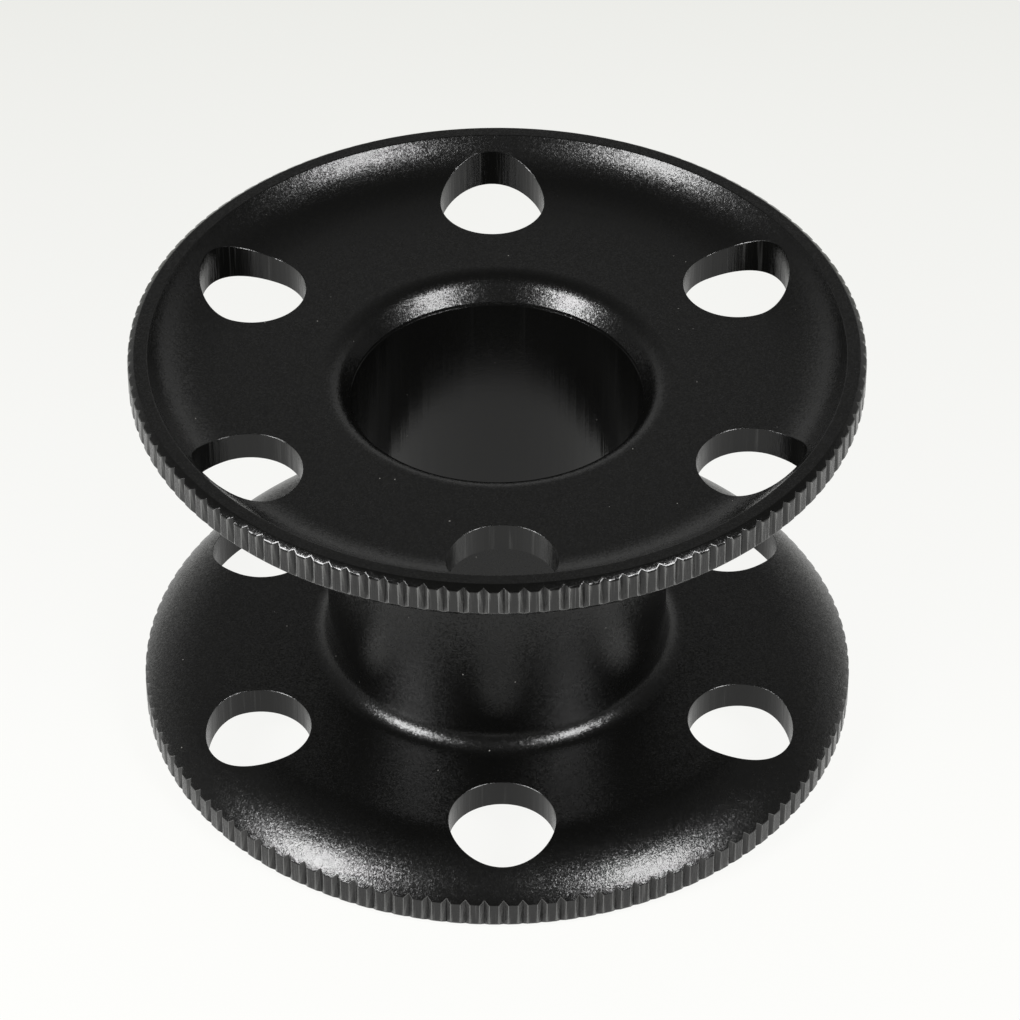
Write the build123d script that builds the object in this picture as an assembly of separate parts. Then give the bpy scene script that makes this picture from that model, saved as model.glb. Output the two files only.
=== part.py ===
from build123d import *

import math
import os

# A diver's finger spool: a bare line bobbin of black anodised aluminium.
#
# Two dished flanges with knurled rims and six clip holes each stand on either side of a
# barrel, and a smooth liner forms the bore that a gloved finger goes through.
#
# Millimetres, +Z up along the spool's axis. The origin is at the centre of the plane that
# the lower rim stands on. The first clip hole is at -Y, which is the front.

# Driving dimensions
RIM_R = 45.0  # radius over the knurl lands
HEIGHT = 55.3  # from rim to rim
FLOOR_DEPTH = 4.8  # how far the flat floor of a flange lies below its rim
WEB = 3.75  # thickness of a flange at its floor
FLAT_R = 34.6  # where the flat floor ends and the dish begins to rise
RIM_INNER_R = 42.6  # inner edge of the rim's flat top
BACK_FLAT_R = 35.3  # where the back of the web begins to rise
BACK_R = 12.3  # radius of that rise, which runs out at the knurled edge

# Rim edges and knurl
LIP_CHAMFER_R = 0.8  # outer edge of the rim, measured along the radius
LIP_CHAMFER_Z = 0.65  # and along the axis
KNURL_COUNT = 120
KNURL_DEPTH = 0.42
KNURL_LAND_SHARE = 0.5  # share of one pitch that stays land

# Clip holes
HOLE_COUNT = 6
HOLE_R = 6.6
HOLE_CIRCLE_R = 34.8

# Barrel, mouth and liner
BARREL_R = 21.4
BARREL_FILLET = 2.5  # from the barrel into each flange
SLEEVE_BORE_R = 18.0
SLEEVE_WALL = 1.4
MOUTH_ROUND = 3.0  # rounding from the floor into the mouth
MOUTH_CONE = math.radians(58)  # slope of the cone that the rounding runs into
MOUTH_DEPTH = 2.9  # from the floor to the foot of the cone
MOUTH_LAND = 0.4  # short straight wall under the cone
SLEEVE_CHAMFER = 0.2  # inner edge at each end of the liner
SEAM_HEIGHT = 33.0  # where the upper flange meets the barrel
SEAM_CHAMFER = 0.15  # outer edge of both pieces there

MID_HEIGHT = HEIGHT / 2
SLEEVE_OUTER_R = SLEEVE_BORE_R + SLEEVE_WALL
FLOOR_Z = MID_HEIGHT - FLOOR_DEPTH  # heights from here on are above mid-height
WEB_Z = FLOOR_Z - WEB
MOUTH_FOOT_Z = FLOOR_Z - MOUTH_DEPTH
SLEEVE_END_Z = MOUTH_FOOT_Z - MOUTH_LAND
SEAM_Z = SEAM_HEIGHT - MID_HEIGHT

# The dish is an arc tangent to the floor, and its back an arc tangent to the web.
DISH_WIDTH = RIM_INNER_R - FLAT_R
DISH_R = (DISH_WIDTH**2 + FLOOR_DEPTH**2) / (2 * FLOOR_DEPTH)
DISH_CENTRE_Z = FLOOR_Z + DISH_R
BACK_CENTRE_Z = WEB_Z + BACK_R
BACK_END_Z = BACK_CENTRE_Z - math.sqrt(BACK_R**2 - (RIM_R - BACK_FLAT_R) ** 2)

# The mouth is an arc tangent to the floor, then a cone down to the bore.
CONE_TOP_Z = FLOOR_Z - MOUTH_ROUND * (1 - math.cos(MOUTH_CONE))
CONE_TOP_R = SLEEVE_BORE_R + (CONE_TOP_Z - MOUTH_FOOT_Z) / math.tan(MOUTH_CONE)
MOUTH_R = CONE_TOP_R + MOUTH_ROUND * math.sin(MOUTH_CONE)


def arc_point(centre, radius, end_a, end_b):
    """The point of an arc about centre that lies halfway between two of its points."""
    middle = Vector(*end_a) + Vector(*end_b) - Vector(*centre) * 2
    return Vector(*centre) + middle.normalized() * radius


def flange_section(barrel_end_z):
    """Half section of the upper flange, with its barrel reaching down to barrel_end_z."""
    dish_centre = (FLAT_R, DISH_CENTRE_Z)
    floor_end = (FLAT_R, FLOOR_Z)
    rim_inner = (RIM_INNER_R, MID_HEIGHT)
    back_centre = (BACK_FLAT_R, BACK_CENTRE_Z)
    back_end = (RIM_R, BACK_END_Z)
    web_end = (BACK_FLAT_R, WEB_Z)
    fillet_centre = (BARREL_R + BARREL_FILLET, WEB_Z - BARREL_FILLET)
    fillet_top = (BARREL_R + BARREL_FILLET, WEB_Z)
    fillet_foot = (BARREL_R, WEB_Z - BARREL_FILLET)
    mouth_centre = (MOUTH_R, FLOOR_Z - MOUTH_ROUND)
    mouth_top = (MOUTH_R, FLOOR_Z)
    cone_top = (CONE_TOP_R, CONE_TOP_Z)

    with BuildSketch(Plane.XZ) as section:
        with BuildLine():
            Line(mouth_top, floor_end)
            ThreePointArc(floor_end, arc_point(dish_centre, DISH_R, floor_end, rim_inner), rim_inner)
            Polyline(
                rim_inner,
                (RIM_R - LIP_CHAMFER_R, MID_HEIGHT),
                (RIM_R, MID_HEIGHT - LIP_CHAMFER_Z),
                back_end,
            )
            ThreePointArc(back_end, arc_point(back_centre, BACK_R, back_end, web_end), web_end)
            Line(web_end, fillet_top)
            ThreePointArc(
                fillet_top,
                arc_point(fillet_centre, BARREL_FILLET, fillet_top, fillet_foot),
                fillet_foot,
            )
            Polyline(
                fillet_foot,
                (BARREL_R, barrel_end_z + SEAM_CHAMFER),
                (BARREL_R - SEAM_CHAMFER, barrel_end_z),
                (SLEEVE_OUTER_R, barrel_end_z),
                (SLEEVE_OUTER_R, SLEEVE_END_Z),
                (SLEEVE_BORE_R, SLEEVE_END_Z),
                (SLEEVE_BORE_R, MOUTH_FOOT_Z),
                cone_top,
            )
            ThreePointArc(
                cone_top,
                arc_point(mouth_centre, MOUTH_ROUND, cone_top, mouth_top),
                mouth_top,
            )
        make_face()
    return section.sketch


def knurl_outline():
    """Everything inside the knurled rim, as a disc with V grooves round its edge."""
    half_groove = math.pi * RIM_R / KNURL_COUNT * (1 - KNURL_LAND_SHARE)
    with BuildSketch() as outline:
        Circle(RIM_R)
        with PolarLocations(RIM_R, KNURL_COUNT, start_angle=-90):
            Polygon(
                (-KNURL_DEPTH, 0),
                (KNURL_DEPTH, 2 * half_groove),
                (KNURL_DEPTH, -2 * half_groove),
                align=None,
                mode=Mode.SUBTRACT,
            )
    return outline.sketch


def make_flange(barrel_end_z):
    """The upper flange about mid-height: turned, then knurled, then drilled."""
    turned = revolve(flange_section(barrel_end_z), Axis.Z)
    knurled = turned & Pos(0, 0, -HEIGHT) * extrude(knurl_outline(), 2 * HEIGHT)
    hole = Pos(0, 0, FLOOR_Z) * Cylinder(HOLE_R, 4 * FLOOR_DEPTH)
    return knurled - [place * hole for place in PolarLocations(HOLE_CIRCLE_R, HOLE_COUNT, -90)]


def make_sleeve():
    """The liner of the bore, held between the two mouths."""
    with BuildSketch(Plane.XZ) as section:
        with Locations((SLEEVE_BORE_R + SLEEVE_WALL / 2, 0)):
            Rectangle(SLEEVE_WALL, 2 * SLEEVE_END_Z)
        chamfer(section.vertices().group_by(Axis.X)[0], SLEEVE_CHAMFER)
    return revolve(section.sketch, Axis.Z)


def main():
    to_stand = Pos(0, 0, MID_HEIGHT)
    nodes = {
        "upper_flange": to_stand * make_flange(SEAM_Z),
        "lower_flange": to_stand * mirror(make_flange(-SEAM_Z), Plane.XY),
        "hub_sleeve": to_stand * make_sleeve(),
    }
    os.makedirs("parts", exist_ok=True)
    for name, solid in nodes.items():
        export_step(solid, f"parts/{name}.step")


main()
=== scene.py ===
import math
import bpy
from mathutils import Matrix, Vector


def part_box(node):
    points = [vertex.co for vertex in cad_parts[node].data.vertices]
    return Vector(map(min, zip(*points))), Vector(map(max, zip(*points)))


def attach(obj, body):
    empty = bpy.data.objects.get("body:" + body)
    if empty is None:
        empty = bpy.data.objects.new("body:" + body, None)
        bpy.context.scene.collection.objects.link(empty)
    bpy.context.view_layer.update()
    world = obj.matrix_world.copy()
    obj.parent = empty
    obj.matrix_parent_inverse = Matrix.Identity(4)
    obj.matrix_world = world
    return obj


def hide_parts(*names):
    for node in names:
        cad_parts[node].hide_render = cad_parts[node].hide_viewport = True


bl_info = {
    "name": "Finger Spool",
    "version": (1, 0, 0),
    "blender": (4, 5, 0),
    "location": "View3D > Sidebar > Finger Spool",
    "description": "Models a diver's finger spool in black anodised aluminium",
    "category": "Object",
}

import bmesh
import bpy
from mathutils import Matrix, Vector

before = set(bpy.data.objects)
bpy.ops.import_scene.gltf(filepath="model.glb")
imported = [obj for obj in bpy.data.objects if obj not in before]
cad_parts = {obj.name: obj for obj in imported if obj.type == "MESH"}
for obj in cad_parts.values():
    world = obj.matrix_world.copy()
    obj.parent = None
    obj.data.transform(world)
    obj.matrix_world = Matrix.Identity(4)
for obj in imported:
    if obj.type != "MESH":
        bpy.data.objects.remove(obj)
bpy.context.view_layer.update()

MM = 0.001
COLUMNS = 480  # edges round the spool: four to each pitch of the knurl
HOLE_EDGES = 96
NEAR = 2e-6  # how close two places must be to count as the same
FRONT = -math.pi / 2  # azimuth of the first clip hole and of the first groove
SPOOL_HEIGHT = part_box("upper_flange")[1].z

# Finishes of a flange, in the order of its material slots, and then the bore's
FLANGE_FINISHES = {
    "blasted": "Blasted black anodise",
    "knurled": "Knurled black anodise",
    "drilled": "Drilled black anodise",
    "lip": "Chamfered black anodise",
}
FINISH_NAMES = {**FLANGE_FINISHES, "bored": "Bored black anodise"}

# Stage, in metres
LEFT_SOFTBOX = (-0.225, -0.153, 0.183)
RIGHT_SOFTBOX = (0.203, -0.196, 0.210)
SOFTBOX_SIZE = (0.11, 0.15)
FLOOR_SIDE = 4.0
AIM_OFFSET = Vector((1.5973, -0.0276, 1.0305)) * MM  # from the middle to where the camera aims
SENSOR_WIDTH = 36.0  # mm
LENS = 185.16  # mm


# ---------------------------------------------------------------- settings


def length(name, description, millimetres):
    """A property for a size, stored in metres."""
    return bpy.props.FloatProperty(
        name=name,
        description=description,
        default=millimetres * MM,
        min=0.0,
        unit="LENGTH",
        subtype="DISTANCE",
        precision=5,
    )


def colour(name, description, default):
    """A property for a linear colour."""
    return bpy.props.FloatVectorProperty(
        name=name,
        description=description,
        default=default,
        min=0.0,
        max=1.0,
        size=3,
        subtype="COLOR",
    )


def factor(name, description, default, top=1.0):
    """A property for a plain number from 0."""
    return bpy.props.FloatProperty(
        name=name, description=description, default=default, min=0.0, max=top, subtype="FACTOR"
    )


def angle(name, description, degrees):
    """A property for an angle, stored in radians."""
    return bpy.props.FloatProperty(
        name=name, description=description, default=math.radians(degrees), subtype="ANGLE"
    )


class SpoolShape(bpy.types.PropertyGroup):
    """Sizes of the turned parts."""

    height: length("Height", "From rim to rim", SPOOL_HEIGHT / MM)
    rim_radius: length("Rim radius", "Radius over the knurl lands", 45.0)
    floor_depth: length("Floor depth", "How far a flange's floor lies below its rim", 4.8)
    web: length("Web", "Thickness of a flange at its floor", 3.75)
    flat_radius: length("Flat radius", "Where the floor ends and the dish rises", 34.6)
    rim_inner_radius: length("Rim inner radius", "Inner edge of the rim's flat top", 42.6)
    back_flat_radius: length("Back flat radius", "Where the flange's back begins to rise", 35.3)
    back_rise: length("Back rise", "Radius of the rise of a flange's back", 12.3)
    lip_width: length("Lip width", "Outer chamfer of the rim, along the radius", 0.8)
    lip_drop: length("Lip drop", "Outer chamfer of the rim, along the axis", 0.58)
    lip_round: length("Lip round", "Rounding of the lip's lower edge", 0.3)
    fine_round: length("Fine round", "Rounding of the other machined edges", 0.09)
    knurl_count: bpy.props.IntProperty(
        name="Grooves", description="Grooves round each rim", default=120, min=12
    )
    knurl_depth: length("Groove depth", "Depth of a knurl groove", 0.42)
    hole_count: bpy.props.IntProperty(
        name="Clip holes", description="Clip holes in each flange", default=6, min=1
    )
    hole_radius: length("Clip hole radius", "Radius of a clip hole", 6.6)
    hole_circle: length("Hole circle", "Radius of the circle that the holes lie on", 34.8)
    hole_edge: length("Hole edge", "Broken edge of a clip hole", 0.05)
    barrel_radius: length("Barrel radius", "Outside of the barrel", 21.4)
    barrel_fillet: length("Barrel fillet", "From the barrel into a flange", 2.5)
    bore_radius: length("Bore radius", "Inside of the liner", 18.0)
    liner_wall: length("Liner wall", "Thickness of the liner", 1.4)
    liner_edge: length("Liner edge", "Chamfer inside each end of the liner", 0.2)
    mouth_round: length("Mouth round", "Rounding from the floor into the mouth", 3.0)
    mouth_slope: angle("Mouth slope", "Slope of the cone under the rounding", 58.0)
    mouth_depth: length("Mouth depth", "From the floor to the foot of the cone", 2.9)
    mouth_land: length("Mouth land", "Straight wall under the cone", 0.4)
    seam_height: length("Seam height", "Where the upper flange meets the barrel", 33.0)
    seam_edge: length("Seam edge", "Chamfer on both sides of the seam", 0.15)


class SpoolFinish(bpy.types.PropertyGroup):
    """Colours and finish of the metal, and the colour of the painted glint on its crests and cutter
    lines.
    """

    anodise: colour("Anodise", "Dyed black of the oxide layer", (0.0012, 0.0012, 0.0011))
    dust: colour("Dust", "Pale dust that lies on the black", (0.16, 0.155, 0.145))
    # A pale colour painted as a glint on the land crests and along the cutter lines; it stands in
    # for their reflections and is not wear.
    painted_glint: colour("Painted glint", "Black rubbed pale on crests and cutter lines", (0.06, 0.06, 0.058))
    bare: colour("Bare metal", "Aluminium where the oxide is chipped", (0.55, 0.55, 0.54))
    blasted_roughness: factor("Blasted roughness", "Roughness of the blasted faces", 0.26)
    turned_roughness: factor("Turned roughness", "Roughness of the knurled band", 0.2)
    lip_roughness: factor("Lip roughness", "Roughness of the rim's chamfer", 0.19)
    bored_roughness: factor("Bored roughness", "Roughness of the bore and the holes", 0.16)
    grain_size: length("Grain size", "Width of one dimple of the blasted face", 0.17)
    dust_share: factor("Dust share", "How much of the surface holds a speck", 0.25)


class SpoolStage(bpy.types.PropertyGroup):
    """Floor, lights and camera."""

    floor: colour("Floor", "Colour of the lit floor", (1.0, 1.0, 0.98))
    floor_glow: factor("Floor glow", "Brightness of the floor", 0.915, 10.0)
    room: colour("Room", "Colour of the studio round the spool", (0.62, 0.62, 0.61))
    left_power: bpy.props.FloatProperty(
        name="Left power", description="Left softbox", default=2.0, min=0.0, unit="POWER"
    )
    right_power: bpy.props.FloatProperty(
        name="Right power", description="Right softbox", default=1.8, min=0.0, unit="POWER"
    )
    camera_distance: length("Camera distance", "From the middle of the spool", 656.541)
    camera_turn: angle("Camera turn", "Camera's azimuth from the front, towards -X", 0.99)
    camera_rise: angle("Camera rise", "Camera's elevation", 40.6579)
    camera_roll: angle("Camera roll", "Camera's roll", 0.0952)


# ---------------------------------------------------------------- selecting


def start(name, add):
    """Empties the selection, runs add, which adds a primitive, and names what it adds."""
    if bpy.context.object and bpy.context.object.mode != "OBJECT":
        bpy.ops.object.mode_set(mode="OBJECT")
    bpy.ops.object.select_all(action="DESELECT")
    add()
    piece = bpy.context.object
    piece.name = name
    piece.data.name = name
    return piece


def only(piece):
    """Makes piece the one selected and active object."""
    bpy.ops.object.select_all(action="DESELECT")
    piece.select_set(True)
    bpy.context.view_layer.objects.active = piece


def edit(piece, kind="VERT"):
    """Opens piece in edit mode with nothing selected, and returns its bmesh."""
    only(piece)
    bpy.ops.object.mode_set(mode="EDIT")
    bpy.ops.mesh.select_mode(type=kind)
    bpy.ops.mesh.select_all(action="DESELECT")
    return bmesh.from_edit_mesh(piece.data)


def done(piece):
    """Closes edit mode and returns the piece."""
    bpy.ops.object.mode_set(mode="OBJECT")
    return piece


def pick(piece, mesh, parts, test):
    """Selects the vertices, edges or faces that pass the test, and returns how many."""
    chosen = [part for part in parts if test(part)]
    for part in chosen:
        part.select_set(True)
    mesh.select_flush_mode()
    bmesh.update_edit_mesh(piece.data, loop_triangles=False, destructive=False)
    return len(chosen)


def radius_of(point):
    return math.hypot(point.x, point.y)


def groove_phase(point, count):
    """Azimuth from the nearest groove's middle, in radians."""
    pitch = 2 * math.pi / count
    turn = (math.atan2(point.y, point.x) - FRONT) / pitch
    return (turn - round(turn)) * pitch


def apply_modifiers(piece):
    only(piece)
    for modifier in list(piece.modifiers):
        bpy.ops.object.modifier_apply(modifier=modifier.name)


# ---------------------------------------------------------------- section


class Section:
    """The curves of a flange's section. Heights are above the spool's middle."""

    def __init__(self, s):
        self.s = s
        self.rim = s.height / 2
        self.floor = self.rim - s.floor_depth
        self.back = self.floor - s.web
        width = s.rim_inner_radius - s.flat_radius
        self.dish = (width**2 + s.floor_depth**2) / (2 * s.floor_depth)
        self.dish_centre = self.floor + self.dish
        self.back_centre = self.back + s.back_rise
        self.mouth_foot = self.floor - s.mouth_depth
        self.liner_end = self.mouth_foot - s.mouth_land
        self.seam = s.seam_height - self.rim

    def face_height(self, radius):
        """Height of a flange's outer face, floor and dish."""
        out = max(0.0, radius - self.s.flat_radius)
        return self.dish_centre - math.sqrt(self.dish**2 - out**2)

    def back_height(self, radius):
        """Height of a flange's inner face, towards the line."""
        out = max(0.0, radius - self.s.back_flat_radius)
        return self.back_centre - math.sqrt(self.s.back_rise**2 - out**2)

    def points(self):
        """(radius, height) round the upper flange's section, from the mouth's foot outwards."""
        s = self.s
        support = 0.25 * MM  # an extra ring that keeps a flat face flat beside a curve
        cone_top = self.floor - s.mouth_round * (1 - math.cos(s.mouth_slope))
        cone_radius = s.bore_radius + (cone_top - self.mouth_foot) / math.tan(s.mouth_slope)
        mouth = cone_radius + s.mouth_round * math.sin(s.mouth_slope)
        line = [(s.bore_radius, self.mouth_foot)]
        line += arc(mouth, self.floor - s.mouth_round, s.mouth_round, s.mouth_slope, 0.0, 14)
        line += [(mouth + support, self.floor), (s.flat_radius - support, self.floor)]

        tilt = math.asin((s.rim_inner_radius - s.flat_radius) / self.dish)
        soften = 1.2 * s.fine_round / self.dish
        line += arc(s.flat_radius, self.dish_centre, -self.dish, 0.0, tilt - soften, 24)
        inner = s.rim_inner_radius
        line += [(inner - 0.1 * s.fine_round, self.rim - 0.35 * s.fine_round)]
        line += [(inner + 0.5 * s.fine_round, self.rim - 0.02 * s.fine_round)]
        line += [(inner + 1.6 * s.fine_round, self.rim)]
        line += [(s.rim_radius - s.lip_width, self.rim)]
        line += [(s.rim_radius, self.rim - s.lip_drop)]

        line += [(s.rim_radius, self.back_height(s.rim_radius))]

        run_out = s.rim_radius - 1.2 * s.knurl_depth  # just inside the bottom of the grooves
        tilt = math.asin((run_out - s.back_flat_radius) / s.back_rise)
        line += arc(s.back_flat_radius, self.back_centre, -s.back_rise, tilt, 0.0, 16)
        line += [(s.back_flat_radius - support, self.back)]
        fillet = s.barrel_radius + s.barrel_fillet
        line += [(fillet + support, self.back)]
        line += arc(fillet, self.back - s.barrel_fillet, s.barrel_fillet, 0.0, math.pi / 2, 14)
        line += [(s.barrel_radius, self.back - s.barrel_fillet - support)]
        line += [(s.barrel_radius, self.seam + s.seam_edge + support)]
        line += [(s.barrel_radius, self.seam + s.seam_edge)]
        line += [(s.barrel_radius - s.seam_edge, self.seam)]
        seat = s.bore_radius + s.liner_wall
        line += [(seat, self.seam), (seat, self.liner_end), (s.bore_radius, self.liner_end)]
        return line


def arc(centre_radius, centre_height, size, first, last, steps):
    """Points of an arc. Angles are from straight up, and lean towards the axis."""
    turns = [first + (last - first) * i / steps for i in range(steps + 1)]
    return [
        (centre_radius - size * math.sin(t), centre_height + size * math.cos(t))
        for t in turns
    ]


# ---------------------------------------------------------------- turning and cutting


def turn_section(name, section, middle):
    """Turns a closed section: a circle is extruded ring by ring along it, back to its start."""
    radius, height = section[0]
    piece = start(
        name,
        lambda: bpy.ops.mesh.primitive_circle_add(
            vertices=COLUMNS, radius=radius, fill_type="NOTHING", location=(0, 0, middle + height)
        ),
    )
    bpy.ops.object.transform_apply(location=True, rotation=True, scale=True)
    edit(piece)
    bpy.ops.mesh.select_all(action="SELECT")
    for next_radius, next_height in section[1:] + section[:1]:
        bpy.ops.mesh.extrude_edges_move(
            TRANSFORM_OT_translate={"value": (0, 0, next_height - height)}
        )
        grow = next_radius / radius
        bpy.ops.transform.resize(value=(grow, grow, 1), center_override=(0, 0, 0))
        radius, height = next_radius, next_height
    bpy.ops.mesh.select_all(action="SELECT")
    bpy.ops.mesh.remove_doubles(threshold=NEAR)
    bpy.ops.mesh.normals_make_consistent(inside=False)
    return done(piece)


def knurl_rim(piece, s, section, middle):
    """Presses the grooves into the band: every fourth column moves in to the groove's bottom."""
    apex = s.rim_radius - s.knurl_depth
    chamfer = (apex - s.rim_radius + s.lip_width) / s.lip_width
    rings = (
        (section.rim - s.lip_drop, section.rim - s.lip_drop * chamfer),
        (section.back_height(s.rim_radius), section.back_height(apex)),
    )
    for ring, target in rings:
        mesh = edit(piece)
        pick(
            piece,
            mesh,
            mesh.verts,
            lambda v: abs(v.co.z - middle - ring) < NEAR
            and radius_of(v.co) > s.rim_radius - NEAR
            and abs(groove_phase(v.co, s.knurl_count)) < 0.001,
        )
        grow = apex / s.rim_radius
        bpy.ops.transform.resize(value=(grow, grow, 1), center_override=(0, 0, 0))
        bpy.ops.transform.translate(value=(0, 0, target - ring))
        done(piece)


def soften_rim(piece, s, section, middle):
    """Rounds the rim's crisp edges, more along the lip's lower edge than elsewhere."""
    top = middle + section.rim
    lip = top - s.lip_drop

    def crisp(edge):
        a, b = (v.co for v in edge.verts)
        return (
            min(radius_of(a), radius_of(b)) > s.rim_radius - s.lip_width - NEAR
            and edge.is_manifold
            and edge.calc_face_angle_signed(0.0) > math.radians(20)
        )

    def level(edge, height, slack):
        return all(abs(v.co.z - height) < slack for v in edge.verts)

    def is_lip(edge):
        return level(edge, lip, NEAR) and crisp(edge)

    def is_fine(edge):
        return not level(edge, lip, NEAR) and crisp(edge)

    for test, weight in ((is_lip, 1.0), (is_fine, s.fine_round / s.lip_round)):
        mesh = edit(piece, "EDGE")
        pick(piece, mesh, mesh.edges, test)
        bpy.ops.transform.edge_bevelweight(value=weight)
        done(piece)
    bevel = piece.modifiers.new("Rim edges", "BEVEL")
    bevel.limit_method = "WEIGHT"
    bevel.width = s.lip_round
    bevel.segments = 4
    apply_modifiers(piece)


def hole_cutter(s, section, middle):
    """One cutter for a clip hole, flared where it passes each face so the edges are broken."""
    step = 1 * MM
    cutter = start(
        "hole_cutter",
        lambda: bpy.ops.mesh.primitive_circle_add(
            vertices=HOLE_EDGES, radius=s.hole_radius, fill_type="NGON"
        ),
    )
    edit(cutter)
    bpy.ops.mesh.select_all(action="SELECT")
    for _ in range(7):
        bpy.ops.mesh.extrude_region_move(TRANSFORM_OT_translate={"value": (0, 0, step)})
    mesh = bmesh.from_edit_mesh(cutter.data)
    for vert in mesh.verts:
        ring = round(vert.co.z / step)
        turn = math.atan2(vert.co.y, vert.co.x)
        out, height = flare(s, section, turn, ring)
        vert.co = Vector(
            (out * math.cos(turn), out * math.sin(turn) - s.hole_circle, middle + height)
        )
    bmesh.update_edit_mesh(cutter.data)
    bpy.ops.mesh.select_all(action="SELECT")
    bpy.ops.mesh.normals_make_consistent(inside=False)
    return done(cutter)


def flare(s, section, turn, ring):
    """Where one vertex of the cutter's wall goes: its distance from the hole's axis and height."""

    def height(surface, out):
        return surface(math.hypot(out * math.cos(turn), out * math.sin(turn) - s.hole_circle))

    surface, sign = (section.back_height, 1) if ring < 4 else (section.face_height, -1)
    edge = height(surface, s.hole_radius)
    slope = (height(surface, s.hole_radius + s.hole_edge) - edge) / s.hole_edge
    reach = s.hole_edge / math.hypot(1, slope)
    wall = (s.hole_radius, edge + sign * s.hole_edge)
    face = (s.hole_radius + reach, edge + reach * slope)
    beyond = (2 * face[0] - wall[0], 2 * face[1] - wall[1])
    away = (beyond[0], section.back - s.web if ring < 4 else section.rim + s.web)
    return [away, beyond, wall, wall, wall, wall, beyond, away][ring]


def drill(piece, cutter, s):
    """Cuts the ring of clip holes."""
    cutters = []
    for index in range(s.hole_count):
        only(cutter)
        bpy.ops.object.duplicate(linked=False)
        copy = bpy.context.object
        turn = index * 2 * math.pi / s.hole_count
        copy.data.transform(Matrix.Rotation(turn, 4, "Z"))
        cutters.append(copy)
    bpy.ops.object.select_all(action="DESELECT")
    for copy in cutters:
        copy.select_set(True)
    bpy.context.view_layer.objects.active = cutters[0]
    bpy.ops.object.join()
    joined = bpy.context.object
    only(piece)
    cut = piece.modifiers.new("Clip holes", "BOOLEAN")
    cut.operation = "DIFFERENCE"
    cut.solver = "EXACT"
    cut.object = joined
    apply_modifiers(piece)
    bpy.data.objects.remove(joined)
    edit(piece)
    bpy.ops.mesh.select_all(action="SELECT")
    bpy.ops.mesh.remove_doubles(threshold=NEAR / 2)
    return done(piece)


def hole_distance(point, s):
    """Distance from the nearest clip hole's axis."""
    pitch = 2 * math.pi / s.hole_count
    turn = (math.atan2(point.y, point.x) - FRONT) / pitch
    turn = (turn - round(turn)) * pitch
    radius = radius_of(point)
    return math.hypot(radius * math.cos(turn) - s.hole_circle, radius * math.sin(turn))


def finish_faces(piece, s, made):
    """Gives the blasted faces, the knurled band, the drilled walls and the lip their finishes."""
    for key in FLANGE_FINISHES:
        piece.data.materials.append(made[key])
    groove = s.rim_radius - 1.2 * s.knurl_depth
    lip = s.rim_radius - s.lip_width
    wall = s.hole_radius + 0.02 * MM
    upright = 0.3  # most that a wall's normal may point up or down
    level = 0.95  # least that a level face's normal points up

    def middle(face):
        return face.calc_center_median()

    tests = {
        "knurled": lambda face: radius_of(middle(face)) > groove and abs(face.normal.z) < upright,
        "drilled": lambda face: hole_distance(middle(face), s) < wall
        and abs(face.normal.z) < upright,
        "lip": lambda face: radius_of(middle(face)) > lip and upright < face.normal.z < level,
    }
    for slot, key in enumerate(FLANGE_FINISHES):
        if key in tests:
            mesh = edit(piece, "FACE")
            pick(piece, mesh, mesh.faces, tests[key])
            piece.active_material_index = slot
            bpy.ops.object.material_slot_assign()
            done(piece)


def smooth(piece, degrees=30):
    """Smooths the shading, with flat faces kept flat beside their rounded edges."""
    only(piece)
    bpy.ops.object.shade_smooth_by_angle(angle=math.radians(degrees), keep_sharp_edges=False)
    weighted = piece.modifiers.new("Flat faces", "WEIGHTED_NORMAL")
    weighted.keep_sharp = True
    apply_modifiers(piece)


def mark_crests(piece):
    """Stores which vertices lie on the upright edges of the lands, which the chips and the painted
    glint follow.
    """

    def upright(edge):
        a, b = (v.co for v in edge.verts)
        return edge.is_manifold and abs(a.z - b.z) > 0.5 * edge.calc_length()

    mesh = bmesh.new()
    mesh.from_mesh(piece.data)
    sharpness = [
        max((e.calc_face_angle_signed(0.0) for e in v.link_edges if upright(e)), default=0.0)
        for v in mesh.verts
    ]
    mesh.free()
    layer = piece.data.attributes.new("crest", "FLOAT", "POINT")
    blunt, sharp = 0.1, 0.15  # turns in radians at which an edge starts to take, and fully takes, the chips and painted glint
    share = [min(1.0, max(0.0, (turn - blunt) / (sharp - blunt))) for turn in sharpness]
    layer.data.foreach_set("value", share)


# ---------------------------------------------------------------- node building


def node(tree, kind, **inputs):
    """Adds a node and sets or links its inputs, given as in_Name or in_0."""
    made = tree.nodes.new(kind)
    for key, value in inputs.items():
        if key.startswith("in_"):
            name = key[3:]
            socket = made.inputs[int(name) if name.isdigit() else name.replace("_", " ")]
            if isinstance(value, bpy.types.NodeSocket):
                tree.links.new(value, socket)
            else:
                socket.default_value = value
        else:
            setattr(made, key, value)
    return made


def math_node(tree, operation, first, second=None, third=None, clamp=False):
    made = tree.nodes.new("ShaderNodeMath")
    made.operation = operation
    made.use_clamp = clamp
    for socket, value in zip(made.inputs, (first, second, third)):
        if isinstance(value, bpy.types.NodeSocket):
            tree.links.new(value, socket)
        elif value is not None:
            socket.default_value = value
    return made.outputs[0]


def ramp(tree, value, low, high):
    """0 below low, 1 above high, smooth between."""
    made = node(
        tree, "ShaderNodeMapRange", interpolation_type="SMOOTHSTEP", in_0=value, in_1=low, in_2=high
    )
    return made.outputs[0]


def mix(tree, share, first, second):
    """A colour from first at share 0 to second at share 1. Either may be a socket or a colour."""
    made = node(tree, "ShaderNodeMix", data_type="RGBA")
    for index, value in ((0, share), (6, first), (7, second)):
        if isinstance(value, bpy.types.NodeSocket):
            tree.links.new(value, made.inputs[index])
        else:
            made.inputs[index].default_value = (*value, 1)
    return made.outputs[2]


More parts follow.
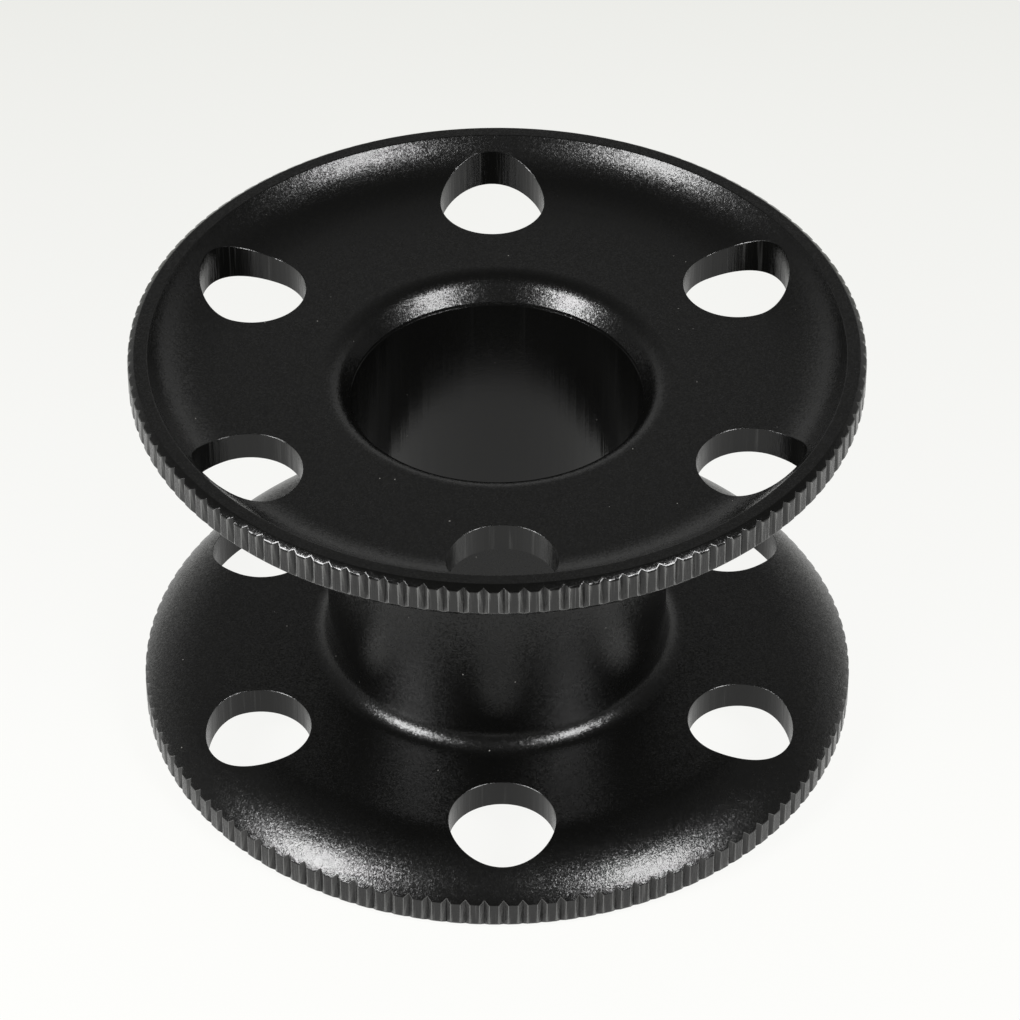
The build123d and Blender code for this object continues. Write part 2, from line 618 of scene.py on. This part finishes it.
def group(name, inputs, outputs):
    """A shader node group with named sockets: returns its tree, input sockets and output node."""
    tree = bpy.data.node_groups.new(name, "ShaderNodeTree")
    for socket, kind, default in inputs:
        made = tree.interface.new_socket(name=socket, in_out="INPUT", socket_type=kind)
        made.default_value = default
    for socket, kind in outputs:
        tree.interface.new_socket(name=socket, in_out="OUTPUT", socket_type=kind)
    return tree, tree.nodes.new("NodeGroupInput").outputs, tree.nodes.new("NodeGroupOutput").inputs


FLOAT, VECTOR = "NodeSocketFloat", "NodeSocketVector"


def blasted_grain():
    """Dimples that glass beads leave: their height, how they change the gloss, and facets.

    Coarse share is how much of the height is wide dimples. Tilt is how far the facets lean.
    """
    tree, given, out = group(
        "Blasted grain",
        [("Size", FLOAT, 0.17 * MM), ("Coarse share", FLOAT, 0.1), ("Tilt", FLOAT, 0.13)],
        [("Height", FLOAT), ("Mottle", FLOAT), ("Normal", VECTOR)],
    )
    place = node(tree, "ShaderNodeTexCoord").outputs["Object"]
    scale = math_node(tree, "DIVIDE", 1.0, given["Size"])
    fine = node(
        tree, "ShaderNodeTexNoise", in_Vector=place, in_Scale=scale, in_Detail=1.0, in_Roughness=0.6
    ).outputs[0]
    wide = node(
        tree,
        "ShaderNodeTexNoise",
        in_Vector=place,
        in_Scale=math_node(tree, "MULTIPLY", scale, 0.3),
        in_Detail=2.0,
    ).outputs[0]
    mixed = math_node(
        tree,
        "MULTIPLY_ADD",
        math_node(tree, "SUBTRACT", wide, fine),
        given["Coarse share"],
        fine,
    )
    tree.links.new(mixed, out["Height"])
    tree.links.new(math_node(tree, "SUBTRACT", wide, 0.5), out["Mottle"])

    cells = node(tree, "ShaderNodeTexVoronoi", in_Vector=place, in_Scale=scale)
    lean = node(
        tree,
        "ShaderNodeVectorMath",
        operation="SUBTRACT",
        in_0=cells.outputs["Color"],
        in_1=(0.5, 0.5, 0.5),
    ).outputs[0]
    turned = node(
        tree, "ShaderNodeVectorMath", operation="SCALE", in_0=lean, in_Scale=given["Tilt"]
    )
    level = node(tree, "ShaderNodeNewGeometry").outputs["Normal"]
    facet = node(
        tree, "ShaderNodeVectorMath", operation="ADD", in_0=turned.outputs[0], in_1=level
    ).outputs[0]
    facet = node(tree, "ShaderNodeVectorMath", operation="NORMALIZE", in_0=facet).outputs[0]
    tree.links.new(facet, out["Normal"])
    return tree


def dust_specks():
    """Small pale specks that lie on the surface."""
    tree, given, out = group(
        "Dust specks",
        [("Spacing", FLOAT, 1.6 * MM), ("Share", FLOAT, 0.25), ("Speck", FLOAT, 0.045)],
        [("Mask", FLOAT)],
    )
    place = node(tree, "ShaderNodeTexCoord").outputs["Object"]
    cells = node(
        tree,
        "ShaderNodeTexVoronoi",
        in_Vector=place,
        in_Scale=math_node(tree, "DIVIDE", 1.0, given["Spacing"]),
    )
    draw = node(tree, "ShaderNodeSeparateColor", in_0=cells.outputs["Color"]).outputs
    size = math_node(tree, "MULTIPLY", given["Speck"], math_node(tree, "ADD", draw[1], 0.4))
    inside = math_node(tree, "LESS_THAN", cells.outputs["Distance"], size)
    kept = math_node(tree, "LESS_THAN", draw[0], given["Share"])
    strength = math_node(tree, "MULTIPLY_ADD", draw[2], 0.7, 0.3)
    mask = math_node(tree, "MULTIPLY", math_node(tree, "MULTIPLY", inside, kept), strength)
    tree.links.new(mask, out["Mask"])
    return tree


def handling():
    """Soft patches where hands have polished or marked the oxide."""
    tree, given, out = group("Handling", [("Patch", FLOAT, 9 * MM)], [("Polish", FLOAT)])
    place = node(tree, "ShaderNodeTexCoord").outputs["Object"]
    patch = node(
        tree,
        "ShaderNodeTexNoise",
        in_Vector=place,
        in_Scale=math_node(tree, "DIVIDE", 1.0, given["Patch"]),
        in_Detail=4.0,
    ).outputs[0]
    tree.links.new(math_node(tree, "SUBTRACT", patch, 0.5), out["Polish"])
    return tree


def edge_wear_and_painted_glint():
    """Masks for the painted glint on the crests of the knurl's lands, which stands in for their
    reflections, and for chips on them that show the bare metal.
    """
    tree, given, out = group(
        "Edge wear and painted glint", [("Amount", FLOAT, 0.4)], [("Chip", FLOAT), ("Painted crest glint", FLOAT)]
    )
    place = node(tree, "ShaderNodeTexCoord").outputs["Object"]
    edge = node(tree, "ShaderNodeAttribute", attribute_name="crest").outputs["Fac"]
    nicks = node(
        tree, "ShaderNodeTexNoise", in_Vector=place, in_Scale=3200.0, in_Detail=2.0
    ).outputs[0]
    where = node(tree, "ShaderNodeTexNoise", in_Vector=place, in_Scale=140.0, in_Detail=1.0)
    level = math_node(tree, "MULTIPLY_ADD", given["Amount"], -0.14, 0.78)
    rare = ramp(tree, where.outputs[0], level, math_node(tree, "ADD", level, 0.06))
    small = ramp(tree, nicks, 0.56, 0.64)
    crest = math_node(tree, "POWER", edge, 6.0)
    mask = math_node(tree, "MULTIPLY", math_node(tree, "MULTIPLY", rare, small), crest)
    tree.links.new(mask, out["Chip"])
    # The crest mask also goes out on its own, for the painted glint on the lands.
    tree.links.new(crest, out["Painted crest glint"])
    return tree


def cut_lines():
    """Lines along the spool's axis that a cutter leaves. Width is across them, Run along them."""
    tree, given, out = group(
        "Cut lines",
        [("Width", FLOAT, 0.12 * MM), ("Run", FLOAT, 25.0), ("Broad share", FLOAT, 0.4)],
        [("Height", FLOAT)],
    )
    place = node(tree, "ShaderNodeTexCoord").outputs["Object"]
    axes = node(tree, "ShaderNodeSeparateXYZ", in_0=place).outputs
    drawn = node(
        tree,
        "ShaderNodeCombineXYZ",
        in_0=axes[0],
        in_1=axes[1],
        in_2=math_node(tree, "DIVIDE", axes[2], given["Run"]),
    ).outputs[0]
    scale = math_node(tree, "DIVIDE", 1.0, given["Width"])
    fine = node(
        tree, "ShaderNodeTexNoise", in_Vector=drawn, in_Scale=scale, in_Detail=2.0, in_Roughness=0.7
    ).outputs[0]
    broad = node(
        tree,
        "ShaderNodeTexNoise",
        in_Vector=drawn,
        in_Scale=math_node(tree, "MULTIPLY", scale, 0.12),
        in_Detail=1.0,
    ).outputs[0]
    height = math_node(
        tree,
        "MULTIPLY_ADD",
        math_node(tree, "MULTIPLY", broad, 6.0),
        given["Broad share"],
        fine,
    )
    tree.links.new(height, out["Height"])
    return tree


def use(tree, name, **values):
    """Places a node group in a material."""
    made = tree.nodes.new("ShaderNodeGroup")
    made.node_tree = bpy.data.node_groups[name]
    for key, value in values.items():
        socket = made.inputs[key.replace("_", " ")]
        if isinstance(value, bpy.types.NodeSocket):
            tree.links.new(value, socket)
        else:
            socket.default_value = value
    return made.outputs


def anodise(
    name,
    finish,
    roughness,
    grain,
    index,
    dust,
    tilt=0.0,
    chips=0.0,
    lines=None,
    line_height=0.0,
    pale=0.0,
):
    """Black anodised aluminium.

    Grain and line_height are bump depths in metres, index is the index of refraction, dust the
    share of specks, tilt the lean of the grain's facets and chips how much the crests are chipped;
    a set chips also puts the painted glint on the land crests. Lines is the width, run and broad
    share of the cutter's lines, and pale is how strong the painted glint along them is, a pale
    colour that stands in for their reflections.
    """
    material = bpy.data.materials.new(name)
    material.use_nodes = True
    tree = material.node_tree
    shader = tree.nodes["Principled BSDF"]

    blast = use(tree, "Blasted grain", Size=finish.grain_size, Tilt=tilt)
    specks = use(tree, "Dust specks", Share=dust)["Mask"]
    polish = use(tree, "Handling")["Polish"]

    skin = mix(tree, specks, finish.anodise, finish.dust)
    height = math_node(tree, "MULTIPLY", blast["Height"], grain)
    if lines:
        width, run, broad = lines
        streak = use(tree, "Cut lines", Width=3 * width, Run=run, Broad_share=0.0)["Height"]
        # Painted glint: a pale colour along the cutter lines, and with chips on the land crests
        # too, standing in for their reflections.
        painted_glint_mask = math_node(tree, "MULTIPLY", ramp(tree, streak, 0.55, 0.8), pale)
        if chips:
            wear_and_glint = use(tree, "Edge wear and painted glint", Amount=chips)
            painted_glint_mask = math_node(tree, "MAXIMUM", wear_and_glint["Painted crest glint"], painted_glint_mask)
        # Mixes the painted glint colour into the skin.
        skin = mix(tree, painted_glint_mask, skin, finish.painted_glint)
        if chips:
            skin = mix(tree, wear_and_glint["Chip"], skin, finish.bare)
            tree.links.new(wear_and_glint["Chip"], shader.inputs["Metallic"])
        drawn = use(tree, "Cut lines", Width=width, Run=run, Broad_share=broad)["Height"]
        height = math_node(tree, "MULTIPLY_ADD", drawn, line_height, height)
    tree.links.new(skin, shader.inputs["Base Color"])

    gloss = math_node(tree, "MULTIPLY_ADD", blast["Mottle"], 0.08, roughness)
    gloss = math_node(tree, "MULTIPLY_ADD", polish, 0.06, gloss)
    gloss = math_node(tree, "MULTIPLY_ADD", specks, 0.3, gloss, clamp=True)
    tree.links.new(gloss, shader.inputs["Roughness"])
    shader.inputs["IOR"].default_value = index

    bump = node(
        tree,
        "ShaderNodeBump",
        in_Strength=1.0,
        in_Distance=1.0,
        in_Height=height,
        in_Normal=blast["Normal"],
    )
    tree.links.new(bump.outputs[0], shader.inputs["Normal"])
    return material


def make_finishes(finish):
    """Builds the shared groups and the spool's materials."""
    for build in (blasted_grain, dust_specks, handling, edge_wear_and_painted_glint, cut_lines):
        build()
    dust = finish.dust_share
    # pale sets the painted glint along the cutter lines; a set chips also paints it on the land
    # crests.
    recipes = {
        "blasted": dict(
            roughness=finish.blasted_roughness, grain=0.02 * MM, index=1.4, dust=dust, tilt=0.13
        ),
        "knurled": dict(
            roughness=finish.turned_roughness,
            grain=0.03 * MM,
            index=1.5,
            dust=0.3 * dust,
            tilt=0.08,
            chips=0.4,
            lines=(0.16 * MM, 25.0, 0.1),
            line_height=0.07 * MM,
            pale=0.6,
        ),
        "drilled": dict(
            roughness=finish.bored_roughness,
            grain=0.015 * MM,
            index=1.38,
            dust=0.2 * dust,
            lines=(0.2 * MM, 30.0, 0.5),
            line_height=0.035 * MM,
            pale=0.25,
        ),
        "lip": dict(
            roughness=finish.lip_roughness, grain=0.01 * MM, index=1.4, dust=0.3 * dust, tilt=0.08
        ),
        "bored": dict(
            roughness=finish.bored_roughness,
            grain=0.008 * MM,
            index=1.38,
            dust=0.2 * dust,
            lines=(0.3 * MM, 60.0, 0.8),
            line_height=0.02 * MM,
            pale=0.03,
        ),
    }
    return {key: anodise(FINISH_NAMES[key], finish, **recipe) for key, recipe in recipes.items()}


# ---------------------------------------------------------------- operators


def finishes():
    """The spool's materials, made once."""
    if FINISH_NAMES["blasted"] not in bpy.data.materials:
        return make_finishes(bpy.context.scene.spool_finish)
    return {key: bpy.data.materials[name] for key, name in FINISH_NAMES.items()}


class SPOOL_OT_flanges(bpy.types.Operator):
    """Turn, knurl and drill the upper flange, then mirror it for the lower one."""

    bl_idname = "spool.flanges"
    bl_label = "Flanges"

    def execute(self, context):
        s = context.scene.spool_shape
        section = Section(s)
        middle = s.height / 2
        upper = turn_section("flange_upper", section.points(), middle)
        knurl_rim(upper, s, section, middle)
        soften_rim(upper, s, section, middle)
        cutter = hole_cutter(s, section, middle)
        drill(upper, cutter, s)
        bpy.data.objects.remove(cutter)
        finish_faces(upper, s, finishes())

        only(upper)
        bpy.ops.object.duplicate(linked=False)
        lower = context.object
        lower.name = lower.data.name = "flange_lower"
        edit(lower)
        bpy.ops.mesh.select_all(action="SELECT")
        bpy.ops.transform.resize(value=(1, 1, -1), center_override=(0, 0, middle))
        bpy.ops.mesh.normals_make_consistent(inside=False)
        done(lower)
        mesh = edit(lower)
        seam = middle - section.seam
        barrel = s.barrel_radius + NEAR
        end = 0.45 * MM  # takes in the seam's chamfer and the ring that supports it
        count = pick(
            lower,
            mesh,
            mesh.verts,
            lambda v: radius_of(v.co) < barrel and abs(v.co.z - seam) < end,
        )
        if not count:
            raise RuntimeError("the lower flange has no barrel end to draw out")
        bpy.ops.transform.translate(value=(0, 0, 2 * section.seam))
        done(lower)
        for piece, cad in ((upper, "upper_flange"), (lower, "lower_flange")):
            smooth(piece)
            mark_crests(piece)
            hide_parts(cad)
            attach(piece, "root")
        return {"FINISHED"}


class SPOOL_OT_liner(bpy.types.Operator):
    """Turn the smooth liner of the bore."""

    bl_idname = "spool.liner"
    bl_label = "Liner"

    def execute(self, context):
        s = context.scene.spool_shape
        section = Section(s)
        end, edge = section.liner_end, s.liner_edge
        outer = s.bore_radius + s.liner_wall
        line = [
            (s.bore_radius, edge - end),
            (s.bore_radius + edge, -end),
            (outer, -end),
            (outer, end),
            (s.bore_radius + edge, end),
            (s.bore_radius, end - edge),
        ]
        liner = turn_section("bore_liner", line, s.height / 2)
        liner.data.materials.append(finishes()["bored"])
        smooth(liner)
        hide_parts("hub_sleeve")
        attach(liner, "root")
        return {"FINISHED"}


def softbox(name, place, target, size, power):
    """A rectangular soft light that faces the target."""
    data = bpy.data.lights.new(name, "AREA")
    data.shape = "RECTANGLE"
    data.size, data.size_y = size
    data.energy = power
    light = bpy.data.objects.new(name, data)
    light.location = place
    light.rotation_euler = (Vector(target) - Vector(place)).to_track_quat("-Z", "Y").to_euler()
    bpy.context.scene.collection.objects.link(light)


def floor_material(stage):
    """Pale floor lit from inside, about a third darker far behind the spool."""
    material = bpy.data.materials.new("Pale lit floor")
    material.use_nodes = True
    tree = material.node_tree
    shader = tree.nodes["Principled BSDF"]
    place = node(tree, "ShaderNodeTexCoord").outputs["Object"]
    cloud = node(tree, "ShaderNodeTexNoise", in_Vector=place, in_Scale=6.0, in_Detail=3.0)
    axes = node(tree, "ShaderNodeSeparateXYZ", in_0=place).outputs
    away = node(
        tree,
        "ShaderNodeMapRange",
        interpolation_type="SMOOTHERSTEP",
        in_0=axes[1],
        in_1=-0.05,
        in_2=0.45,
        in_3=0.0,
        in_4=1.0,
    ).outputs[0]
    mixed = math_node(tree, "MULTIPLY_ADD", cloud.outputs[0], 0.02, away)
    near = tuple(stage.floor)
    far = (near[0] * 0.66, near[1] * 0.67, near[2] * 0.62)
    tree.links.new(mix(tree, mixed, near, far), shader.inputs["Emission Color"])
    shader.inputs["Emission Strength"].default_value = stage.floor_glow
    shader.inputs["Base Color"].default_value = (0.03, 0.03, 0.03, 1)
    shader.inputs["Roughness"].default_value = 0.9
    shader.inputs["Specular IOR Level"].default_value = 0.0
    return material


def studio_world(stage):
    """A dim studio whose back wall is lit, most of all low down."""
    world = bpy.data.worlds.new("Studio")
    world.use_nodes = True
    tree = world.node_tree
    shade = tree.nodes["Background"]
    way = node(tree, "ShaderNodeTexCoord").outputs["Generated"]
    axes = node(tree, "ShaderNodeSeparateXYZ", in_0=way).outputs
    behind = ramp(tree, axes[1], -0.2, 0.9)
    low = math_node(tree, "SUBTRACT", 1.0, ramp(tree, axes[2], 0.2, 0.6))
    wall = math_node(tree, "MULTIPLY", behind, math_node(tree, "MULTIPLY_ADD", low, 0.6, 0.4))
    room = Vector(stage.room)
    tree.links.new(mix(tree, wall, room * 0.1, room), shade.inputs["Color"])
    shade.inputs["Strength"].default_value = 1.0
    bpy.context.scene.world = world


class SPOOL_OT_stage(bpy.types.Operator):
    """Lay the pale floor, hang the softboxes and place the camera."""

    bl_idname = "spool.stage"
    bl_label = "Stage"

    def execute(self, context):
        s = context.scene.spool_shape
        stage = context.scene.spool_stage
        floor = start("floor", lambda: bpy.ops.mesh.primitive_plane_add(size=FLOOR_SIDE))
        edit(floor)
        bpy.ops.mesh.select_all(action="SELECT")
        bpy.ops.mesh.subdivide(number_cuts=3)
        done(floor)
        floor.data.materials.append(floor_material(stage))

        centre = Vector((0, 0, s.height / 2))
        softbox("softbox_left", LEFT_SOFTBOX, centre, SOFTBOX_SIZE, stage.left_power)
        softbox("softbox_right", RIGHT_SOFTBOX, centre, SOFTBOX_SIZE, stage.right_power)
        studio_world(stage)

        turn, rise = stage.camera_turn, stage.camera_rise
        place = centre + stage.camera_distance * Vector(
            (-math.sin(turn) * math.cos(rise), -math.cos(turn) * math.cos(rise), math.sin(rise))
        )
        aim = centre + AIM_OFFSET
        data = bpy.data.cameras.new("camera")
        data.sensor_width = SENSOR_WIDTH
        data.lens = LENS
        data.clip_start = 0.01
        data.clip_end = 20.0
        camera = bpy.data.objects.new("camera", data)
        look = (aim - place).normalized()
        right = look.cross(Vector((0, 0, 1))).normalized()
        up = right.cross(look)
        roll = stage.camera_roll
        right, up = (
            right * math.cos(roll) + up * math.sin(roll),
            up * math.cos(roll) - right * math.sin(roll),
        )
        axes = Matrix((right, up, -look)).transposed()
        camera.matrix_world = Matrix.Translation(place) @ axes.to_4x4()
        context.scene.collection.objects.link(camera)
        context.scene.camera = camera
        context.scene.view_settings.view_transform = "Standard"
        return {"FINISHED"}


class SPOOL_PT_panel(bpy.types.Panel):
    """Lists the spool's sizes, finishes and pieces."""

    bl_idname = "SPOOL_PT_panel"
    bl_label = "Finger Spool"
    bl_space_type = "VIEW_3D"
    bl_region_type = "UI"
    bl_category = "Finger Spool"

    def draw(self, context):
        layout = self.layout
        for kind in STEPS:
            layout.operator(kind.bl_idname)
        for key in ("spool_shape", "spool_finish", "spool_stage"):
            settings = getattr(context.scene, key)
            box = layout.box()
            for name in settings.__annotations__:
                box.prop(settings, name)


STEPS = (SPOOL_OT_flanges, SPOOL_OT_liner, SPOOL_OT_stage)
CLASSES = (SpoolShape, SpoolFinish, SpoolStage, *STEPS, SPOOL_PT_panel)


def register():
    for kind in CLASSES:
        bpy.utils.register_class(kind)
    bpy.types.Scene.spool_shape = bpy.props.PointerProperty(type=SpoolShape)
    bpy.types.Scene.spool_finish = bpy.props.PointerProperty(type=SpoolFinish)
    bpy.types.Scene.spool_stage = bpy.props.PointerProperty(type=SpoolStage)


def unregister():
    for key in ("spool_shape", "spool_finish", "spool_stage"):
        delattr(bpy.types.Scene, key)
    for kind in reversed(CLASSES):
        bpy.utils.unregister_class(kind)


def main():
    register()
    bpy.ops.spool.flanges()
    bpy.ops.spool.liner()
    bpy.ops.spool.stage()


if __name__ == "__main__":
    main()
